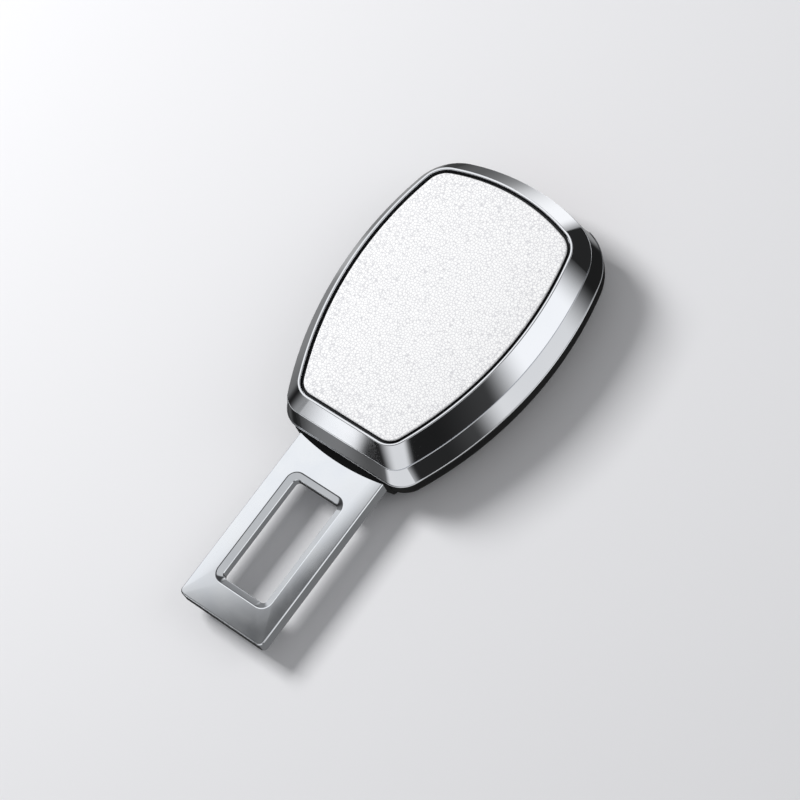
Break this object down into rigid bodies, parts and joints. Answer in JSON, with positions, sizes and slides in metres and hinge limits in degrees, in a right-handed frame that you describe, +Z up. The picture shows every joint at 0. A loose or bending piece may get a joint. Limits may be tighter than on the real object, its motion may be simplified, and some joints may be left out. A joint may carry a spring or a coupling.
{
  "type": "seat belt extender",
  "caption": "Rigid seat belt extender: a steel tongue with a catch window on a chromed buckle head with a pale leather panel, a push button and a sprung latch inside.",
  "frame": {"origin": "middle of the buckle head on the flat back of the cover", "axes": "+X across the width, +Y along the object from the tongue's tip towards the mouth, +Z up out of the leather panel"},
  "size_m": [0.0512, 0.1099, 0.0181],
  "materials": {
    "chrome": "polished chrome plate on a zinc casting",
    "leather": "matt, fine pebble grain",
    "board_plastic": "matt moulded",
    "adhesive": "matt acrylic foam",
    "black_plastic": "fine-textured moulded",
    "housing_plastic": "matt glass-filled",
    "tongue_steel": "bright-plated, smooth satin",
    "frame_steel": "zinc-plated sheet",
    "pin_steel": "ground",
    "spring_steel": "drawn wire",
    "screw_steel": "zinc-plated",
    "red_plastic": "moulded, semi-gloss",
    "slider_plastic": "natural acetal"
  },
  "bodies": {
    "housing": {"bezel_shell": "chrome", "leather_panel": "leather", "panel_board": "board_plastic", "panel_tape": "adhesive", "back_cover": "black_plastic", "tongue_plate": "tongue_steel", "tongue_collar": "black_plastic", "buckle_frame": "frame_steel", "frame_rivets": "frame_steel", "latch_pin": "pin_steel", "latch_spring": "spring_steel", "button_spring_right": "spring_steel", "button_spring_left": "spring_steel", "ejector_spring": "spring_steel", "inner_housing": "housing_plastic", "mouth_guide": "black_plastic", "housing_screws": "screw_steel"},
    "button": {"release_button": "red_plastic"},
    "latch": {"latch": "frame_steel"},
    "ejector": {"ejector": "slider_plastic"}
  },
  "joints": [
    {"name": "button_slide", "type": "slide", "parent": "housing", "child": "button", "axis": [0, -1, 0], "range_m": [0, 0.0045], "stiffness_N_per_m": 600, "springref_m": -0.004, "deforming": ["button_spring_right", "button_spring_left"]},
    {"name": "latch_tilt", "type": "hinge", "parent": "housing", "child": "latch", "pos_m": [0, -0.006, 0.0109], "axis": [1, 0, 0], "range_deg": [0, 9.5], "stiffness_Nm_per_rad": 0.1, "springref_deg": -17.19, "deforming": ["latch_spring"]},
    {"name": "ejector_slide", "type": "slide", "parent": "housing", "child": "ejector", "axis": [0, -1, 0], "range_m": [0, 0.0075], "stiffness_N_per_m": 200, "springref_m": -0.004, "deforming": ["ejector_spring"]}
  ],
  "couplings": [
    {"joint": "latch_tilt", "follows": "button_slide", "rad_per_m": 36.8}
  ]
}
